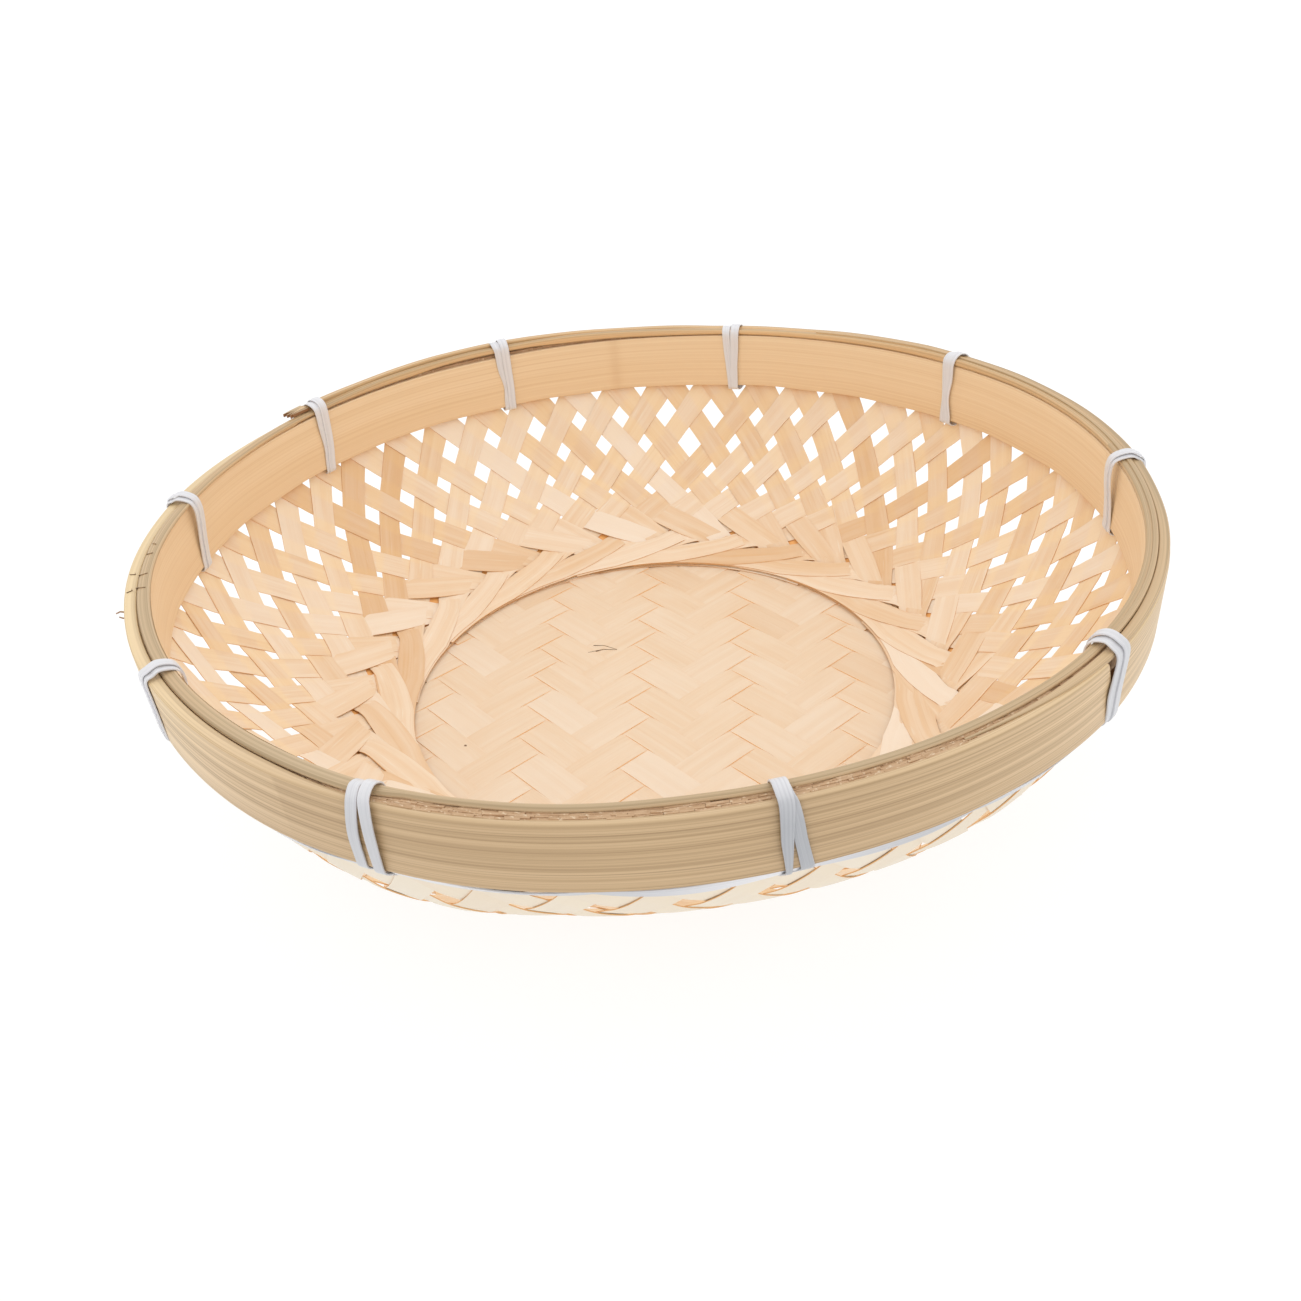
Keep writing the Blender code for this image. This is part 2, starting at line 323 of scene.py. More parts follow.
def add_wall_split(bundle, number, clockwise, tone):
    pair, member = divmod(number, 2)
    stations = np.linspace(0, trace[-1, 2], int(trace[-1, 2] / STATION))
    s = np.interp(stations, trace[:, 2], trace[:, 0])
    turn = np.interp(stations, trace[:, 2], trace[:, 1])
    leaning = lean(s)
    leaning[turn > trace[-1, 1] - math.radians(24)] = math.pi / 2
    ring_weight = smooth(s, 60 * MM, 74 * MM)

    sway = random.uniform(-1, 1, 3)
    wander = math.radians(0.55) * (sway[0] + sway[1] * np.sin(s / (23 * MM) + 3 * sway[2]))
    slide = 0.5 * MM * sway[2] * ring_weight
    s = s + slide
    apart = parting(s)
    index = 2 * pair + 0.5 + (member - 0.5) * apart
    direction = 1 if clockwise else -1
    theta = index * STEP + direction * turn + wander

    width = split_width(s) * random.uniform(0.94, 1.05)
    v = COLUMNS[None, :] * width[:, None]
    r = wall.at(s)[0][:, None]
    s_grid = s[:, None] + v * np.sin(leaning)[:, None]
    s_grid = np.maximum(s_grid, trace[0, 0] + 1.6 * MM)
    theta_grid = theta[:, None] - direction * v * np.cos(leaning)[:, None] / r
    across_phase = phase(s_grid)

    if clockwise:
        row = (theta_grid + across_phase) / STEP - index[:, None] - 1
    else:
        row = index[:, None] - (theta_grid - across_phase) / STEP - 1
    side = interlace(row) * direction
    spacing = r * STEP * np.cos(leaning)[:, None]
    off_crossing = np.abs(row - np.round(row)) * spacing / (width[:, None] / 2)
    glow = smooth(off_crossing, 0.75, 1.15) * (1 - smooth(s_grid, 44 * MM, 60 * MM))

    thickness = SPLIT_THICKNESS
    stacked = np.clip((1 - apart) * 3, 0, 1)[:, None]
    wave = (0.62 + 0.43 * stacked) * thickness
    layer = (member - 0.5) * thickness * stacked
    pair_gap = np.maximum(r * 2 * STEP * np.cos(leaning)[:, None], 3.5 * MM)
    covered = (v + width[:, None] / 2) / pair_gap
    age = (trace[-1, 1] - turn)[:, None] / (2 * STEP)
    pile = 1.25 * thickness * np.minimum(covered, 1) * np.minimum(age, 2.2)
    pile = pile * ring_weight[:, None]
    pile = pile if clockwise else -0.4 * pile
    h = side * wave + layer + pile
    h = h + 0.05 * MM * np.sin(stations / (9 * MM) + 5 * sway[1])[:, None]

    crown = CROWN[None, :] * thickness
    top = wall.place(s_grid, theta_grid, h + thickness / 2 + crown)
    bottom = wall.place(s_grid, theta_grid, h - thickness / 2)
    along = stations[:, None] + 0.37 * number + (11 if clockwise else 0)
    bundle.add(top, bottom, v, along, tone, glow=glow)


def add_floor_strand(bundle, number, first_family, tone):
    middle = (FLOOR_STRANDS - 1) / 2
    offset = (number - middle) * FLOOR_PITCH
    reach = FLOOR_EDGE + 4.0 * MM
    if abs(offset) > reach - 3 * MM:
        return
    half = math.sqrt(reach ** 2 - offset ** 2)
    angle = FLOOR_TURN + math.radians(-45 if first_family else 45)
    direction = np.array([math.cos(angle), math.sin(angle), 0])
    sideways = np.array([-math.sin(angle), math.cos(angle), 0])
    along = np.linspace(-half, half, int(2 * half / STATION))
    v = COLUMNS[None, :] * FLOOR_WIDTH
    sign = -1 if first_family else 1
    cross = sign * (along / FLOOR_PITCH)[:, None] + middle
    step = sign * (cross - number) + FLOOR_PHASE
    over = np.tanh(3 * np.cos(np.pi * (step - 0.5) / 2)) / math.tanh(3)
    side = over if first_family else -over
    h = FLOOR_LEVEL + side * FLOOR_WAVE + random.uniform(-0.03, 0.03) * MM
    centre = (direction * along[:, None])[:, None, :] + sideways * (v + offset)[..., None]
    lift = np.array([0, 0, 1.0])
    crown = 0.25 * CROWN[None, :] * FLOOR_THICKNESS
    top = centre + lift * (h + FLOOR_THICKNESS / 2 + crown)[..., None]
    bottom = centre + lift * (h - FLOOR_THICKNESS / 2 + 0 * v)[..., None]
    bundle.add(top, bottom, v, along[:, None] + 0.41 * number + (5 if first_family else 3), tone)


# ---------------------------------------------------------------- materials
class Nodes:
    def __init__(self, name):
        self.material = bpy.data.materials.new(name)
        self.material.use_nodes = True
        self.tree = self.material.node_tree
        self.shader = self.tree.nodes["Principled BSDF"]

    def new(self, kind, **values):
        node = self.tree.nodes.new(kind)
        for key, value in values.items():
            setattr(node, key, value)
        return node

    def link(self, a, b):
        self.tree.links.new(a, b)

    def stretched(self, scale_across, scale_along, shift=0.0):
        """Coordinates that follow the fibres: across and along the strip, in metres."""
        uv = self.new("ShaderNodeUVMap", uv_map="grain")
        mapping = self.new("ShaderNodeMapping")
        mapping.inputs["Scale"].default_value = (scale_across, scale_along, 1)
        mapping.inputs["Location"].default_value = (shift, shift * 0.7, 0)
        self.link(uv.outputs["UV"], mapping.inputs["Vector"])
        return mapping.outputs["Vector"]

    def noise(self, vector, scale=1.0, detail=3.0, roughness=0.55):
        node = self.new("ShaderNodeTexNoise")
        node.inputs["Scale"].default_value = scale
        node.inputs["Detail"].default_value = detail
        node.inputs["Roughness"].default_value = roughness
        self.link(vector, node.inputs["Vector"])
        return node.outputs["Fac"]

    def spread(self, value, low, high):
        node = self.new("ShaderNodeMapRange", clamp=True)
        node.inputs["From Min"].default_value = low
        node.inputs["From Max"].default_value = high
        self.link(value, node.inputs["Value"])
        return node.outputs["Result"]

    def mix(self, factor, a, b, blend="MIX"):
        node = self.new("ShaderNodeMix", data_type="RGBA", blend_type=blend)
        for socket, value in ((node.inputs[0], factor), (node.inputs[6], a), (node.inputs[7], b)):
            if isinstance(value, (int, float)):
                socket.default_value = value
            elif isinstance(value, tuple):
                socket.default_value = (*value, 1.0)
            else:
                self.link(value, socket)
        return node.outputs[2]

    def scaled(self, value, factor):
        node = self.new("ShaderNodeMath", operation="MULTIPLY")
        self.link(value, node.inputs[0])
        if isinstance(factor, (int, float)):
            node.inputs[1].default_value = factor
        else:
            self.link(factor, node.inputs[1])
        return node.outputs[0]

    def attribute(self, name):
        return self.new("ShaderNodeAttribute", attribute_name=name).outputs["Fac"]

    def finish(self, colour, roughness, bump=None, height=0.02 * MM):
        self.link(colour, self.shader.inputs["Base Color"])
        self.shader.inputs["Roughness"].default_value = roughness
        if bump is not None:
            node = self.new("ShaderNodeBump")
            node.inputs["Strength"].default_value = 0.6
            node.inputs["Distance"].default_value = height
            self.link(bump, node.inputs["Height"])
            self.link(node.outputs["Normal"], self.shader.inputs["Normal"])
        return self.material


def split_material(name, contrast, level=1.0, ember=(0.70, 0.36, 0.11),
                   edge=(0.76, 0.42, 0.17)):
    """The wood's inner side. tone darkens or bleaches a whole split, side gives the side faces
    the edge colour as painted shade and the lower faces a paler colour, and glow the places where
    a single split lets light through."""
    n = Nodes(name)
    fibres = n.noise(n.stretched(1500, 20), detail=4)
    bands = n.noise(n.stretched(300, 6, 3.1), detail=2)
    clouds = n.noise(n.stretched(90, 34, 7.3), detail=3)
    flecks = n.noise(n.stretched(900, 60, 9.7), detail=2)
    colour = n.mix(n.scaled(n.spread(bands, 0.38, 0.62), contrast), (0.93, 0.735, 0.535),
                   (0.88, 0.635, 0.405))
    colour = n.mix(n.scaled(n.spread(fibres, 0.52, 0.74), 0.45 * contrast), colour,
                   (0.78, 0.50, 0.26))
    colour = n.mix(n.scaled(n.spread(clouds, 0.48, 0.74), 0.5), colour, (0.95, 0.79, 0.61))
    colour = n.mix(n.scaled(n.spread(flecks, 0.62, 0.74), 0.5 * contrast), colour,
                   (0.97, 0.86, 0.72))
    colour = n.mix(n.scaled(n.attribute("glow"), 0.5), colour, (0.99, 0.74, 0.42))
    tone = n.attribute("tone")
    colour = n.mix(n.spread(tone, 0.0, 1.0), colour, ember)
    colour = n.mix(n.spread(tone, 0.0, -1.0), colour, (0.97, 0.85, 0.71))
    colour = n.mix(1.0, colour, (level, level, level), "MULTIPLY")
    side = n.attribute("side")
    colour = n.mix(n.scaled(n.spread(side, 0.0, -1.0), 0.8), colour, (0.79, 0.715, 0.59))
    # painted shade: the side faces of the splits take the edge colour
    colour = n.mix(n.scaled(n.spread(side, 0.0, 1.0), 0.9), colour, edge)
    return n.finish(colour, 0.55, fibres, 0.04 * MM)


def lath_material(name, pale, deep, streak, contrast, warm, light,
                  dark=(0.77, 0.735, 0.69)):
    """A positive tone blends the lath towards its warm colour, a negative one darkens it with
    painted shade; on the outer lath the tone also paints light on the sides.
    """
    n = Nodes(name)
    fibres = n.noise(n.stretched(3000, 7), detail=5, roughness=0.6)
    fine = n.noise(n.stretched(2100, 2.2, 8.7), detail=1)
    lines = n.noise(n.stretched(1300, 3, 4.9), detail=2)
    bands = n.noise(n.stretched(380, 3, 2.3), detail=3)
    threads = n.noise(n.stretched(1050, 1.6, 6.1), detail=4, roughness=0.7)
    patches = n.noise(n.stretched(60, 14, 5.9), detail=3)
    colour = n.mix(n.scaled(n.spread(bands, 0.28, 0.72), 0.7), pale, deep)
    colour = n.mix(n.scaled(n.spread(patches, 0.45, 0.75), 0.4), colour, pale)
    tone = n.attribute("tone")
    colour = n.mix(n.spread(tone, 0, 1), colour, warm)
    colour = n.mix(n.scaled(n.spread(threads, 0.48, 0.36), contrast * 0.35), colour, light)
    colour = n.mix(n.scaled(n.spread(threads, 0.50, 0.62), contrast * 0.6), colour, streak)
    colour = n.mix(n.scaled(n.spread(fine, 0.46, 0.60), contrast * 0.5), colour, streak)
    colour = n.mix(n.scaled(n.spread(fibres, 0.52, 0.70), contrast * 0.4), colour, streak)
    colour = n.mix(n.scaled(n.spread(lines, 0.58, 0.64), contrast * 0.8), colour, streak)
    # painted shade: a negative tone multiplies the colour by dark
    colour = n.mix(n.spread(tone, 0, -1), colour, dark, "MULTIPLY")
    colour = n.mix(n.scaled(n.spread(n.attribute("side"), 0, 1), 0.9), colour,
                   (0.30, 0.13, 0.05))
    return n.finish(colour, 0.45, fibres, 0.05 * MM)


def strip_material():
    n = Nodes("plastic_strip")
    lines = n.noise(n.stretched(2400, 8), detail=3)
    cloud = n.noise(n.stretched(120, 60, 1.7), detail=2)
    colour = n.mix(n.spread(lines, 0.40, 0.70), (0.80, 0.80, 0.83), (0.66, 0.66, 0.70))
    colour = n.mix(n.scaled(cloud, 0.4), colour, (0.86, 0.84, 0.83))
    # painted shade: the tone darkens the strip to blue-grey, on the ties' outside legs and along
    # the lashing
    colour = n.mix(n.spread(n.attribute("tone"), 0, 1), colour, (0.56, 0.575, 0.585),
                   "MULTIPLY")
    n.shader.inputs["Subsurface Weight"].default_value = 0.15
    n.shader.inputs["Subsurface Radius"].default_value = (0.002, 0.002, 0.002)
    n.shader.inputs["Subsurface Scale"].default_value = 0.4
    return n.finish(colour, 0.32, lines, 0.02 * MM)


def end_grain_material():
    n = Nodes("split_ends")
    specks = n.noise(n.stretched(1800, 700), detail=2)
    clouds = n.noise(n.stretched(300, 160, 4.1), detail=3)
    colour = n.mix(n.spread(clouds, 0.35, 0.65), (0.56, 0.36, 0.21), (0.68, 0.47, 0.29))
    colour = n.mix(n.scaled(n.attribute("tone"), 0.4), colour, (0.46, 0.27, 0.13))
    colour = n.mix(n.scaled(n.spread(specks, 0.58, 0.68), 0.8), colour, (0.86, 0.70, 0.50))
    return n.finish(colour, 0.8, specks, 0.1 * MM)


def mark_material():
    n = Nodes("floor_mark")
    specks = n.noise(n.stretched(2400, 900), detail=2)
    colour = n.mix(n.spread(specks, 0.4, 0.6), (0.10, 0.055, 0.03), (0.38, 0.24, 0.13))
    return n.finish(colour, 0.8, specks, 0.05 * MM)


def floor_material():
    n = Nodes("studio_floor")
    n.shader.inputs["Base Color"].default_value = (0.28, 0.28, 0.28, 1)
    n.shader.inputs["Emission Color"].default_value = (1, 1, 1, 1)
    n.shader.inputs["Emission Strength"].default_value = 0.75
    n.shader.inputs["Roughness"].default_value = 0.8
    return n.material


split_look = split_material("split_bamboo", 1.0)
# painted shade: level 0.955 darkens the whole floor to even it with the wall under the overhead
# lamp, and the side faces take an orange edge colour as painted shade on the steps of the twill
floor_look = split_material("floor_bamboo", 0.55, 0.955, edge=(0.95, 0.56, 0.22))
# painted shade: the hidden ends are coloured strong orange for the shadowed gaps of the ring
hidden_painted_shade_look = split_material("hidden_splits_painted_shade", 0.8, ember=(0.99, 0.47, 0.13))
outer_look = lath_material("outer_lath", (0.78, 0.57, 0.34), (0.68, 0.48, 0.27),
                           (0.36, 0.23, 0.105), 0.62, (0.86, 0.66, 0.38),
                           (0.90, 0.70, 0.47))
inner_look = lath_material("inner_lath", (0.92, 0.70, 0.455), (0.85, 0.615, 0.365),
                           (0.72, 0.46, 0.225), 0.33, (0.60, 0.34, 0.15),
                           (0.97, 0.78, 0.55))
cap_look = lath_material("cap_lath", (0.62, 0.465, 0.285), (0.51, 0.375, 0.215),
                         (0.30, 0.205, 0.10), 0.62, (0.80, 0.50, 0.235),
                         (0.82, 0.63, 0.42))
strip_look = strip_material()
end_grain_look = end_grain_material()
mark_look = mark_material()


# ---------------------------------------------------------------- rim
FULL_TURN = 2 * math.pi


def rim_point(radius, height, theta, weight=1.0):
    """A point of the rim: theta is measured on the round model, the bulge is added here."""
    out = radius + weight * bulge(theta)
    return np.stack([out * np.cos(theta), out * np.sin(theta), height + 0 * out], -1)


def add_lath(name, profile, material, start=0.0, sweep=FULL_TURN, slant=0.0,
             warmth=None, edge_warmth=0.0, step=0.6):
    """Bends a rounded bar round the rim.

    profile(theta) gives its inner and outer radius, bottom, top and the rounding of its edges.
    slant moves the lower edge of the first end along the rim, in radians, and warmth(theta)
    says how far its colour goes towards the warm one.
    """
    closed = abs(sweep - FULL_TURN) < 1e-6
    count = int(math.degrees(abs(sweep)) / step) + (0 if closed else 1)
    theta = start + sweep * np.linspace(0, 1, count, endpoint=not closed)
    inner, outer, bottom, top, edge = profile(theta)
    radius, height = [], []
    for wide, tall, turn in ((1, 1, 90), (1, 0, 0), (0, 0, -90), (0, 1, -180)):
        for i in range(5):
            a = math.radians(turn - 90 * i / 4)
            centre_r = outer - edge if wide else inner + edge
            centre_z = top - edge if tall else bottom + edge
            radius.append(centre_r + edge * math.cos(a))
            height.append(centre_z + edge * math.sin(a))
    radius, height = np.stack(radius, 1), np.stack(height, 1)
    m = radius.shape[1]
    angle = np.broadcast_to(theta[:, None], (count, m)).copy()
    if slant:
        fade = np.clip(1 - np.abs(theta - start) / math.radians(8), 0, 1)[:, None]
        middle = (top + bottom)[:, None] / 2
        angle += slant * fade * (middle - height) / (top - bottom)[:, None]
    grid = rim_point(radius, height, angle)
    index = np.arange(count * m).reshape(count, m)
    wrapped = np.vstack([index, index[:1]]) if closed else index
    wrapped = np.hstack([wrapped, wrapped[:, :1]])
    quads = quad_rows(wrapped)
    if sweep < 0:
        quads = quads[:, ::-1]
    faces = quads.tolist()
    if not closed:
        ends = [index[0].tolist(), index[-1][::-1].tolist()]
        faces += [end[::-1] for end in ends] if sweep < 0 else ends
    mesh = bpy.data.meshes.new(name)
    mesh.from_pydata(grid.reshape(-1, 3), [], faces)
    around = np.hypot(np.diff(radius[0], append=radius[0, :1]),
                      np.diff(height[0], append=height[0, :1]))
    around = np.concatenate([[0], np.cumsum(around)])
    corners = np.empty(len(mesh.loops), np.int32)
    mesh.loops.foreach_get("vertex_index", corners)
    i, j = np.divmod(corners, m)
    side_faces = 4 * len(quads)
    u, v = around[j], i * abs(sweep) / max(count - (0 if closed else 1), 1) * RIM_RADIUS
    seam_faces = np.repeat((quads % m).max(1) - (quads % m).min(1) > 1, 4)
    u[:side_faces][seam_faces & (j[:side_faces] == 0)] = around[-1]
    last_faces = np.repeat(quads.max(1) - quads.min(1) > 2 * m, 4)
    v[:side_faces][last_faces & (i[:side_faces] == 0)] = abs(sweep) * RIM_RADIUS
    layer = mesh.uv_layers.new(name="grain")
    layer.data.foreach_set("uv", np.stack([u, v], 1).ravel())
    tone = mesh.attributes.new("tone", "FLOAT", "POINT")
    warm = np.zeros(count) if warmth is None else warmth(theta)
    tones = warm[:, None] + edge_warmth * (height > (top - 0.5 * MM)[:, None])
    tone.data.foreach_set("value", tones.ravel())
    side = mesh.attributes.new("side", "FLOAT", "FACE")
    side.data.foreach_set("value", [0.0] * len(quads) + [1.0] * (len(faces) - len(quads)))
    mesh.shade_smooth()
    mesh.set_sharp_from_angle(angle=math.radians(50))
    mesh.materials.append(material)
    piece = add_object(name, mesh)
    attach(piece, "root")
    return piece


def degrees_in(theta):
    return (np.degrees(theta) + 180) % 360 - 180


def along_rim(theta, table):
    table = np.array(table, float)
    return np.interp(np.degrees(theta), table[:, 0], table[:, 1], period=360) * MM


# Width of the first cap strip, height of its top, and the same for the second strip beside it
CAP_WIDTH = ((-180, 6.0), (-124, 6.0), (-112, 2.2), (-60, 2.2), (-40, 2.7),
             (0, 3.1), (130, 3.1), (145, 6.0))
CAP_TOP = ((-180, 75.7), (-150, 75.5), (-115, 75.8), (-80, 76.0), (-40, 76.4), (0, 76.7),
           (40, 77.2), (70, 76.4), (84, 77.0), (97, 77.8), (115, 78.2), (130, 77.6),
           (142, 76.5), (155, 76.0), (168, 75.7))
SECOND_CAP_TOP = ((-62, 75.2), (-50, 75.9), (-20, 76.4), (20, 76.7), (40, 77.4), (60, 76.7),
                  (75, 76.5), (90, 77.6), (105, 78.7), (120, 79.1), (132, 78.5), (142, 78.1),
                  (148, 77.9))
SECOND_CAP_ENDS = (math.radians(145), math.radians(-64))
THIRD_CAP_START, THIRD_CAP_SWEEP = math.radians(58), -math.radians(101)
# The outer lath is open, and its ends pass each other at a small slant
OUTER_START, OUTER_SWEEP = math.radians(-45.3), -math.radians(358.2)
OUTER_SLANT = math.radians(3.0)
OUTER_EDGE_WARMTH = 0.5


def cap_top(theta):
    first, second = along_rim(theta, CAP_TOP), along_rim(theta, SECOND_CAP_TOP)
    degrees = degrees_in(theta)
    beside = (degrees > -64) & (degrees < 146)
    return np.where(beside, np.maximum(first, second), first)


def on_left(theta):
    """1 where the cap and the outer lath meet on the left, 0 elsewhere."""
    degrees = degrees_in(theta) % 360
    return smooth(degrees, 148, 162) * (1 - smooth(degrees, 232, 246))


def outer_profile(theta):
    wave = ripple(theta, 0.12 * MM, (2, 5, 9), 3)
    thick = OUTER_THICKNESS + ripple(theta, 0.12 * MM, (3, 7, 17), 4)
    return (OUTER_INNER_FACE - 1.1 * MM * on_left(theta), OUTER_INNER_FACE + thick,
            outer_low.z + wave, outer_high.z + ripple(theta, 0.15 * MM, (3, 8, 13), 5),
            (0.85 - 0.4 * on_left(theta)) * MM)


def inner_profile(theta):
    wave = ripple(theta, 0.28 * MM, (5, 11, 19, 27), 6)
    open_gap = 0.3 * MM * smooth(degrees_in(theta), 62, 84) * (
        1 - smooth(degrees_in(theta), 112, 124))
    return (INNER_FACE + ripple(theta, 0.10 * MM, (3, 8), 7), INNER_OUTER_FACE + 0 * theta,
            inner_low.z + wave, inner_high.z - open_gap, 0.5 * MM + 0 * theta)


def cap_profile(theta):
    inner = INNER_FACE - 0.1 * MM + ripple(theta, 0.12 * MM, (4, 9, 15), 8)
    inner = inner - 1.0 * MM * on_left(theta)
    width = along_rim(theta, CAP_WIDTH) + ripple(theta, 0.12 * MM, (6, 13, 21), 9)
    degrees = degrees_in(theta)
    crack = 0.15 + 0.45 * smooth(degrees, 98, 106) * (1 - smooth(degrees, 118, 126))
    bottom = inner_high.z + crack * MM + 0.5 * (cap_top(theta) - 77.2 * MM).clip(0)
    reach = OUTER_INNER_FACE - (0.25 + 1.0 * on_left(theta)) * MM
    outer = np.minimum(inner + width, reach)
    return (inner, outer, bottom + ripple(theta, 0.08 * MM, (7, 16), 10),
            along_rim(theta, CAP_TOP) + ripple(theta, 0.12 * MM, (5, 12, 23), 11),
            0.75 * MM + 0 * theta)


def second_cap_profile(theta):
    taper = np.clip((146.5 - np.degrees(theta)) / 3, 0.4, 1)
    inner = INNER_FACE + 3.15 * MM + ripple(theta, 0.10 * MM, (4, 9, 15), 12)
    fade = smooth(np.degrees(theta), -64, -45)
    outer = inner + (0.7 + 2.0 * fade * taper) * MM + ripple(theta, 0.12 * MM, (8, 14), 13)
    top = along_rim(theta, SECOND_CAP_TOP) + ripple(theta, 0.12 * MM, (6, 11, 25), 14)
    bottom = np.maximum(outer_high.z - 0.4 * MM, top - 2.3 * MM)
    return inner, outer, bottom, top, 0.35 * MM + 0 * theta


def third_strip_profile(theta):
    inner = INNER_FACE + 1.5 * MM + ripple(theta, 0.15 * MM, (5, 9), 15)
    top = cap_top(theta) + 0.45 * MM
    return inner, inner + 1.5 * MM, top - 1.2 * MM, top, 0.3 * MM + 0 * theta


def outer_painted_shading(theta):
    """Painted shading of the outer lath: painted shade darkens its front and painted light warms
    its left and right sides, with a small random ripple.
    """
    front = smooth(-np.sin(theta + math.radians(6)), 0.6, 1.0)
    sides = smooth(np.abs(np.cos(theta)), 0.6, 0.97)
    return 0.45 * sides - 1.0 * front + ripple(theta, 0.1, (4, 9, 15), 22)


def inner_node(theta):
    """A joint of the bamboo cane shows as a faint band on the inner lath at the back."""
    return 0.22 * np.exp(-((degrees_in(theta) - 91.4) / 0.9) ** 2)


def cap_warmth(theta):
    """The cap is olive in front and warmer towards the back and the right."""
    right = 0.12 * smooth(np.cos(theta), 0.6, 0.95)
    return (0.15 + 0.55 * smooth(np.sin(theta), -0.3, 0.8) + right
            + ripple(theta, 0.12, (3, 7, 12), 21))


def build_rim():
    # the outer lath's tone is painted shade in front and painted light on the sides
    outer = add_lath("outer_lath", outer_profile, outer_look, OUTER_START,
                     OUTER_SWEEP, OUTER_SLANT, outer_painted_shading, OUTER_EDGE_WARMTH)
    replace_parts(outer, "outer_hoop")
    inner = add_lath("inner_lath", inner_profile, inner_look,
                     warmth=inner_node)
    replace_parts(inner, "inner_hoop")
    cap = add_lath("cap_lath", cap_profile, cap_look, warmth=cap_warmth)
    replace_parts(cap, "cap_strip")
    first, last = SECOND_CAP_ENDS
    add_lath("second_cap_lath", second_cap_profile, cap_look, first,
             last - first, warmth=cap_warmth)
    add_lath("third_cap_lath", third_strip_profile, cap_look,
             THIRD_CAP_START, THIRD_CAP_SWEEP, warmth=cap_warmth)


def build_cut_ends():
    """The tops of the splits, cut off level between the two hoops."""
    bundle = Bundle()
    room = OUTER_INNER_FACE - INNER_OUTER_FACE + 0.8 * MM
    for layer in range(CUT_END_LAYERS):
        middle = INNER_OUTER_FACE - 0.1 * MM + (layer + 0.5) * room / CUT_END_LAYERS
        turn = random.uniform(0, 0.02)
        while turn < FULL_TURN:
            length = random.uniform(1.6, 6.0) * MM / middle
            top = CUT_END_TOP + random.uniform(0.65, 0.95) * MM - 1.2 * MM * on_left(turn)
            half = room / CUT_END_LAYERS * random.uniform(0.45, 0.5)
            angles = np.array([turn, turn + length])[:, None]
            radii = np.array([middle - half, middle + half])[None, :]
            upper = rim_point(radii, top + random.uniform(-0.15, 0.15, (2, 2)) * MM, angles)
            lower = rim_point(radii, CUT_END_TOP - 5 * MM + 0 * radii, angles)
            across = np.array([-half, half])[None, :]
            bundle.add(upper, lower, across, angles * middle, random.uniform(0, 1))
            turn += length + random.uniform(0.0, 0.12) * MM / middle
    bundle.build("cut_ends", end_grain_look)


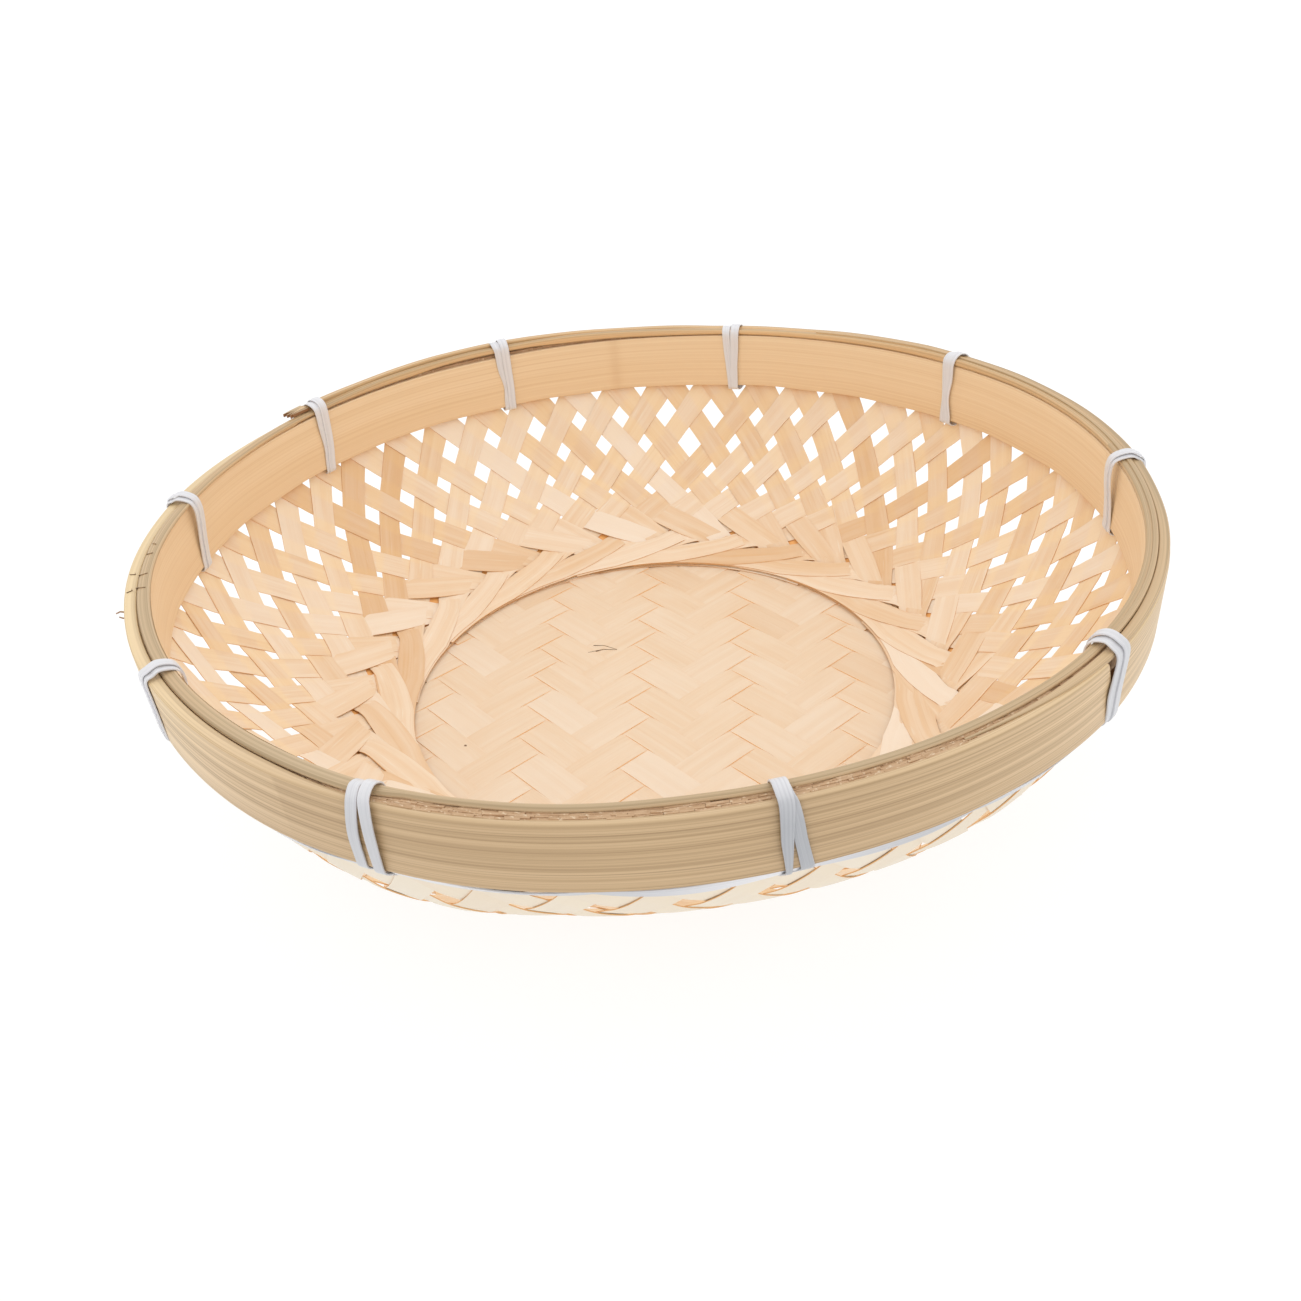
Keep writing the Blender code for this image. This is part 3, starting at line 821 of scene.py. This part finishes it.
# ---------------------------------------------------------------- ties
# For each tie: its angle in degrees; how far its two turns stand off the cap, and the tie off
# the inner and the outer lath, in millimetres; how much painted shade it gets outside; and for
# each turn its offset along the rim at the foot inside, half way up inside, on the cap, at the
# top outside, half way down outside and at the foot outside, and its width at the same places
# but the fourth.
TIES = {
    1: (71.8, (0.1, 0.3, 0.1, 0.1), 0.2,
        ((0.9, 1.6, 2.6, 2.6, 2.6, 2.0), (3.0, 3.0, 3.3, 3.1, 3.0)),
        ((-0.5, -0.6, -1.3, -1.8, -3.0, -3.0), (3.0, 3.0, 3.6, 3.1, 3.0))),
    2: (35.6, (0.1, 0.4, 0.1, 0.1), 0.2,
        ((-1.6, -2.2, -1.8, -2.2, -3.0, -2.0), (3.0, 3.2, 3.6, 3.1, 3.0)),
        ((-4.0, -2.6, -4.2, -4.9, -6.5, -6.0), (2.6, 3.0, 3.2, 3.1, 3.0))),
    3: (-4.2, (0.5, 0.9, 1.9, 0.9), 0.2,
        ((-0.2, -0.3, -0.4, -0.4, -0.4, -0.4), (3.0, 3.0, 2.9, 3.1, 3.0)),
        ((1.9, 1.5, 1.0, 0.9, 0.8, 0.8), (3.0, 3.0, 2.9, 3.1, 3.0))),
    4: (-44.1, (1.1, 1.5, 0.8, 0.4), 0.5,
        ((-3.0, -2.6, -2.4, -2.6, -3.4, -2.0), (3.0, 3.0, 3.0, 4.6, 3.4)),
        ((-1.0, -0.6, -0.4, -0.4, -1.2, 0.0), (3.0, 3.0, 2.8, 2.6, 2.4))),
    5: (-79.8, (0.1, 0.5, 0.1, 0.3), 1.0,
        ((-1.6, -1.6, -1.5, -0.8, 0.9, 2.6), (3.0, 3.0, 3.0, 2.9, 3.1)),
        ((-2.2, -2.2, -2.1, -2.1, -2.1, -1.7), (3.0, 3.0, 3.7, 2.7, 1.4))),
    6: (-114.9, (0.5, 0.7, 0.3, 0.5), 0.62,
        ((-4.0, -4.0, -4.0, -2.6, -4.4, -4.8), (3.0, 3.0, 3.0, 2.9, 2.7)),
        ((-0.6, -0.6, -0.6, 1.0, 0.4, 0.0), (3.0, 3.0, 2.9, 2.9, 2.6))),
    7: (-147.7, (0.9, 1.3, 1.7, 0.2), 0.1,
        ((0.9, 0.9, 0.9, 1.1, 0.8, -0.4), (3.0, 3.0, 3.0, 3.3, 3.2)),
        ((-0.8, -0.8, -0.8, -0.5, -0.7, -2.0), (3.0, 3.0, 3.0, 3.3, 3.2))),
    8: (171.1, (0.7, 1.1, 1.6, 0.3), 0.1,
        ((3.2, 2.2, 1.0, 1.1, 1.2, 1.0), (2.6, 2.8, 3.0, 3.1, 3.0)),
        ((1.2, 0.4, -0.8, -0.8, -0.8, -1.0), (2.6, 2.8, 3.0, 3.1, 3.0))),
    9: (140.5, (0.2, 0.5, 0.2, 0.1), 0.1,
        ((5.0, 3.8, 4.4, 4.5, 4.6, 4.0), (3.0, 3.1, 3.3, 3.1, 3.0)),
        ((4.0, 2.6, 1.8, 1.7, 1.6, 1.5), (3.0, 3.1, 3.3, 3.1, 3.0))),
    10: (108.7, (0.1, 0.4, 0.1, 0.1), 0.1,
        ((3.4, 2.6, 4.6, 4.6, 4.6, 4.0), (2.8, 3.1, 3.8, 3.1, 3.0)),
        ((1.6, 1.3, 1.6, 1.6, 1.6, 1.5), (3.0, 3.1, 3.5, 3.1, 3.0))),
}
STRIP_THICKNESS = 0.4 * MM
TURN_SECTIONS, RUN_SECTIONS = 110, 70    # along one turn of a tie, and one lashing run


def closed_curve(keys, count):
    """A Catmull-Rom curve through the keys, back to the first one."""
    n = len(keys)
    t = np.linspace(0, n, count, endpoint=False)
    i = t.astype(int)
    f = (t - i)[:, None]
    a, b, c, d = (keys[(i + k) % n] for k in (-1, 0, 1, 2))
    return 0.5 * (2 * b + (c - a) * f + (2 * a - 5 * b + 4 * c - d) * f ** 2
                  + (3 * b - a - 3 * c + d) * f ** 3)


def tie_keys(theta, lifts, layer, painted_shade, offsets, widths):
    """Rows of radius, height, offset, width and painted shade, up the inside and down again."""
    gap = (0.25 + 0.42 * layer) * MM
    stand = gap + lifts[layer] * MM
    top = float(cap_top(theta))
    inside, outside = INNER_FACE - gap - 0.1 * MM, RIM_RADIUS + 0.15 * MM + gap
    bow, far_bow = lifts[2] * MM, lifts[3] * MM
    low, high = inner_low.z, outer_high.z
    rows = [(inside + 0.3 * MM, low - 0.9 * MM, 0), (inside, low + 2.5 * MM, 0.2),
            (inside - 0.4 * bow, low + 9 * MM, 1), (inside - bow, low + 16 * MM, 1.6),
            (inside - 0.2 * MM - bow, top - 2.4 * MM, 1.8),
            (inside + 0.7 * MM - 0.8 * bow, top - 0.5 * MM + 0.6 * stand, 1.95),
            (inside + 2.9 * MM, top + 0.25 * MM + stand, 2),
            (outside - 1.9 * MM, top - 0.3 * MM + 0.9 * stand, 2.1),
            (outside + 0.5 * far_bow, high - 0.3 * MM + 0.5 * stand, 2.3),
            (outside + far_bow, high - 5 * MM, 2.7),
            (outside + 0.8 * far_bow, high - 10 * MM, 3),
            (outside + 0.2 * far_bow, outer_low.z + 4 * MM, 3.6),
            (outside - 0.4 * MM, outer_low.z + 0.2 * MM, 4),
            (outside - 2.2 * MM, outer_low.z - 1.9 * MM, 4),
            (INNER_OUTER_FACE + 0.2 * MM, low - 1.8 * MM, 4.6)]
    keys = []
    for radius, height, place in rows:
        offset = np.interp(place, [0, 1, 2, 2.3, 3, 4, 5], [*offsets, offsets[0]])
        width = np.interp(place, [0, 1, 2, 3, 4, 5], [*widths, widths[0]])
        # painted shade on the outside of the tie, fading in over the cap and out at the foot
        dark = painted_shade * np.interp(place, [2, 2.4, 4.2, 4.6], [0.15, 1, 1, 0])
        keys.append((radius, height, offset * MM, width * MM, dark))
    return np.array(keys)


def build_ties():
    for number, (degrees, lifts, painted_shade, first, second) in TIES.items():
        theta = math.radians(degrees)
        for layer, name, (offsets, widths) in ((0, "first", first), (1, "second", second)):
            keys = tie_keys(theta, lifts, layer, painted_shade, offsets, widths)
            line = closed_curve(keys, TURN_SECTIONS)
            ahead = np.roll(line, -1, 0)[:, :2] - np.roll(line, 1, 0)[:, :2]
            ahead /= np.linalg.norm(ahead, axis=1)[:, None]
            normal = np.stack([-ahead[:, 1], ahead[:, 0]], 1)
            run = np.concatenate([[0], np.cumsum(np.hypot(*np.diff(line[:, :2], axis=0).T))])
            v = COLUMNS[None, :] * line[:, 3:4]
            grids = []
            for side, crown in ((1, CROWN), (-1, 0 * CROWN)):
                depth = (side * 0.5 + crown[None, :]) * STRIP_THICKNESS
                radius = line[:, 0:1] + normal[:, 0:1] * depth
                height = line[:, 1:2] + normal[:, 1:2] * depth
                turn = theta + (line[:, 2:3] + v) / RIM_RADIUS
                grids.append(rim_point(radius, height, turn))
            bundle = Bundle()
            bundle.add(*grids, v, run[:, None] + number + 0.3 * layer, line[:, 4:5],
                       loop=True)
            node = f"tie_{number:02d}_{name}_turn"
            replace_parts(bundle.build(node + "_strip", strip_look), node)


def build_lashing():
    """Lengths of strip that run under the outer hoop from each tie to the next."""
    for number in sorted(TIES):
        following = TIES[number % len(TIES) + 1][0]
        start = math.radians(TIES[number][0])
        sweep = -math.radians((TIES[number][0] - following) % 360)
        own = np.random.default_rng(40 + number)
        t = np.linspace(0, 1, RUN_SECTIONS)
        theta = start + sweep * t
        end = np.sin(np.pi * t) ** 0.5
        twist = 0.25 * np.sin(own.uniform(4, 9) * t + own.uniform(0, 6)) * end
        sag = 1.5 * MM * np.abs(np.sin(FULL_TURN * t + own.uniform(-0.3, 0.3))) ** 0.7 * end
        height = outer_low.z - 1.1 * MM - sag
        radius = OUTER_INNER_FACE + 0.35 * MM + 0.2 * MM * np.sin(7 * t)
        width = (2.8 + 0.3 * np.sin(own.uniform(6, 12) * t)) * MM
        v = COLUMNS[None, :] * width[:, None]
        grids = []
        for side, crown in ((1, CROWN), (-1, 0 * CROWN)):
            depth = (side * 0.5 + crown[None, :]) * STRIP_THICKNESS
            lean_out = 0.45 + twist[:, None]
            out = radius[:, None] + depth * np.cos(lean_out) + v * np.sin(lean_out)
            up = height[:, None] - depth * np.sin(lean_out) + v * np.cos(lean_out)
            grids.append(rim_point(out, up, theta[:, None] + 0 * v))
        bundle = Bundle()
        # painted shade: the strip darkens and lightens again along each run under the hoop
        dark = 0.35 + 0.35 * np.sin(own.uniform(4, 8) * t + own.uniform(0, 6))
        bundle.add(*grids, v, t[:, None] * abs(sweep) * RIM_RADIUS + number, dark[:, None])
        node = f"lashing_run_{number:02d}"
        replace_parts(bundle.build(node + "_strip", strip_look), node)


def build_loose_fibres():
    """The frayed end of the second cap strip and two loose fibres of the outer lath."""
    bundle = Bundle()

    def fibre(points, width, tone, thick=0.12 * MM):
        points = np.array(points)
        n = 9
        t = np.linspace(0, len(points) - 1, n)
        line = np.stack([np.interp(t, np.arange(len(points)), points[:, k])
                         for k in range(3)], 1)
        size = width * np.linspace(1, 0.25, n)
        v = COLUMNS[None, :] * size[:, None]
        turn = np.radians(line[:, 2:3]) + 0 * v
        grids = [rim_point(line[:, 0:1] * MM + v, line[:, 1:2] * MM + side * thick / 2, turn)
                 for side in (1, -1)]
        bundle.add(*grids, v, t[:, None] * 0.002, tone)

    for shift in range(13):
        out = 146.6 + 0.28 * shift
        rise = random.uniform(-0.4, 0.5)
        fibre([(out, 77.3 + 0.3 * rise, 142.8), (out + 0.1, 77.3 + 0.5 * rise, 144.6),
               (out + random.uniform(-0.3, 0.5), 77.1 + rise, random.uniform(145.2, 146.2))],
              random.uniform(1.0, 1.6) * MM, random.uniform(0.0, 0.35), 1.1 * MM)
    bundle.build("frayed_end", cap_look)
    bundle = Bundle()
    fibre([(149.4, 71.6, -164.5), (151.6, 72.2, -164.8), (153.1, 71.3, -165.2)],
          0.8 * MM, 0.0, 0.4 * MM)
    fibre([(149.4, 70.9, -164.3), (151.4, 70.2, -164.6), (152.6, 70.3, -165.0)],
          0.6 * MM, 0.1, 0.4 * MM)
    bundle.build("rim_fibres", cap_look)


def build_rim_nicks():
    """Short dark cracks across the cap and the top of the outer lath."""
    bundle = Bundle()
    for degrees, low, high, slant in ((-170.0, 143.9, 146.4, 0.3), (-170.6, 147.6, 149.4, -0.2),
                                      (-166.6, 143.9, 146.6, -0.2), (-166.9, 147.7, 149.3, 0.3),
                                      (-175.0, 144.2, 146.0, 0.2), (-177.2, 144.4, 145.6, -0.2)):
        radius = np.linspace(low, high, 8)[:, None] * MM
        slim = 0.2 * MM * np.sin(np.pi * np.linspace(0.15, 0.85, 8))[:, None]
        v = COLUMNS[None, :] * slim
        lean_over = math.radians(slant) * np.linspace(0, 1, 8)[:, None]
        theta = math.radians(degrees) + lean_over + v / RIM_RADIUS
        level = np.where(radius < OUTER_INNER_FACE, along_rim(theta, CAP_TOP), outer_high.z)
        top, bottom = (rim_point(radius + 0 * v, level + lift * MM, theta)
                       for lift in (0.28, -0.5))
        bundle.add(top, bottom, v, radius, 1.0)
    bundle.build("rim_nicks", mark_look)


def build_floor_marks():
    """A dark knot and a short curved crack in the floor."""
    bundle = Bundle()
    level = FLOOR_LEVEL + FLOOR_WAVE + FLOOR_THICKNESS / 2 + 0.06 * MM
    for line, width in ((((-63.5, -24), (-62.7, -24.1)), 0.8),
                        (((-22.5, 24.0), (-17, 25.2), (-12.0, 24.1)), 0.2),
                        (((-20.5, 28.4), (-16.5, 27.6), (-12.0, 24.3)), 0.18)):
        line = np.array(line) * MM
        t = np.linspace(0, len(line) - 1, 9)
        x, y = (np.interp(t, np.arange(len(line)), line[:, k]) for k in (0, 1))
        slim = width * MM * (0.35 + 0.65 * np.sin(np.pi * (t + 0.3) / (t[-1] + 0.6)))
        v = COLUMNS[None, :] * slim[:, None]
        top, bottom = (np.stack([x[:, None] + 0 * v, y[:, None] + v, level + lift + 0 * v], -1)
                       for lift in (0, -0.3 * MM))
        bundle.add(top, bottom, v, t[:, None] * 0.002, 1.0)
    bundle.build("floor_marks", mark_look)


def build_ring_backing():
    """The splits' hidden ends, lying round the floor beneath the ring, coloured strong orange as
    painted shade where they show through the ring's gaps.
    """
    bundle = Bundle()
    theta = np.linspace(0, FULL_TURN, 240, endpoint=False)[:, None]
    for turn, (low_s, high_s) in enumerate(((61.5, 71.0), (69.5, 79.5), (78.5, 85.5))):
        v = np.linspace(low_s, high_s, 6)[None, :] * MM
        h = (-0.75 - 0.12 * turn) * MM + 0.05 * MM * np.sin(9 * theta + turn) + 0 * v
        top = wall.place(v + 0 * theta, theta + 0 * v, h)
        bottom = wall.place(v + 0 * theta, theta + 0 * v, h - 0.2 * MM)
        bundle.add(top, bottom, v - v.mean(), theta * 90 * MM + turn, 0.95, loop=True)
    bundle.build("ring_backing", hidden_painted_shade_look)


def build_weave():
    tones = random.normal(-0.04, 0.24, (2, SPLITS)).clip(-0.7, 0.16)
    tones[0, [3, 17, 18, 29, 44]] = 0.42
    tones[1, [8, 21, 36, 47]] = 0.36
    for family, clockwise in ((0, True), (1, False)):
        bundle = Bundle()
        for number in range(SPLITS):
            add_wall_split(bundle, number, clockwise, tones[family, number])
        name = "clockwise_splits" if clockwise else "anticlockwise_splits"
        piece = bundle.build(name, split_look)
        if clockwise:
            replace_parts(piece, "woven_wall")
    for family, name in ((True, "floor_strands_a"), (False, "floor_strands_b")):
        bundle = Bundle()
        for number in range(FLOOR_STRANDS):
            add_floor_strand(bundle, number, family, random.normal(-0.05, 0.12))
        piece = bundle.build(name, floor_look)
        if family:
            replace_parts(piece, "woven_base")
    build_ring_backing()


# ---------------------------------------------------------------- studio
def add_area(name, place, size, power, target=(0, 0, 0.03)):
    light = bpy.data.lights.new(name, "AREA")
    light.shape = "DISK"
    light.size = size
    light.energy = power
    lamp = add_object(name, light)
    lamp.location = place
    lamp.rotation_euler = (Vector(target) - Vector(place)).to_track_quat("-Z", "Y").to_euler()


def build_studio():
    """An even white room over a softly glowing white table."""
    world = bpy.data.worlds.new("studio")
    world.use_nodes = True
    background = world.node_tree.nodes["Background"]
    background.inputs["Color"].default_value = (1, 1, 1, 1)
    background.inputs["Strength"].default_value = 1.0
    bpy.context.scene.world = world
    bpy.context.scene.view_settings.view_transform = "Standard"
    add_area("overhead", (0.1, 0.45, 1.3), 1.0, 1.6)

    mesh = bpy.data.meshes.new("studio_floor")
    edge = 60.0
    mesh.from_pydata([(-edge, -edge, 0), (edge, -edge, 0), (edge, edge, 0), (-edge, edge, 0)],
                     [], [(0, 1, 2, 3)])
    mesh.materials.append(floor_material())
    ground = add_object("studio_floor", mesh)


EYE = Vector((0, -0.3232, 0.2328))
TURN_RIGHT, TURN_DOWN, ROLL = 0.0002, 0.09, -0.0916
LENS, SENSOR = 31.9, 36


def build_camera():
    """Looks down at the basket from the front, turned a little about its own axis."""
    forward = (Vector((0, 0, outer_low.z)) - EYE).normalized()
    right = Vector((1, 0, 0))
    up = right.cross(forward)
    forward = (forward + TURN_RIGHT * right - TURN_DOWN * up).normalized()
    right = forward.cross(Vector((0, 0, 1))).normalized()
    up = right.cross(forward)
    side = math.cos(ROLL) * right + math.sin(ROLL) * up
    top = -math.sin(ROLL) * right + math.cos(ROLL) * up
    camera = bpy.data.cameras.new("camera")
    camera.sensor_width = SENSOR
    camera.lens = LENS
    camera.clip_start = 0.01
    camera.clip_end = 200
    thing = add_object("camera", camera)
    turn = Matrix((side, top, -forward)).transposed().to_4x4()
    thing.matrix_world = Matrix.Translation(EYE) @ turn
    bpy.context.scene.camera = thing


build_camera()
build_studio()
build_weave()
build_rim()
build_cut_ends()
build_ties()
build_lashing()
build_loose_fibres()
build_rim_nicks()
build_floor_marks()
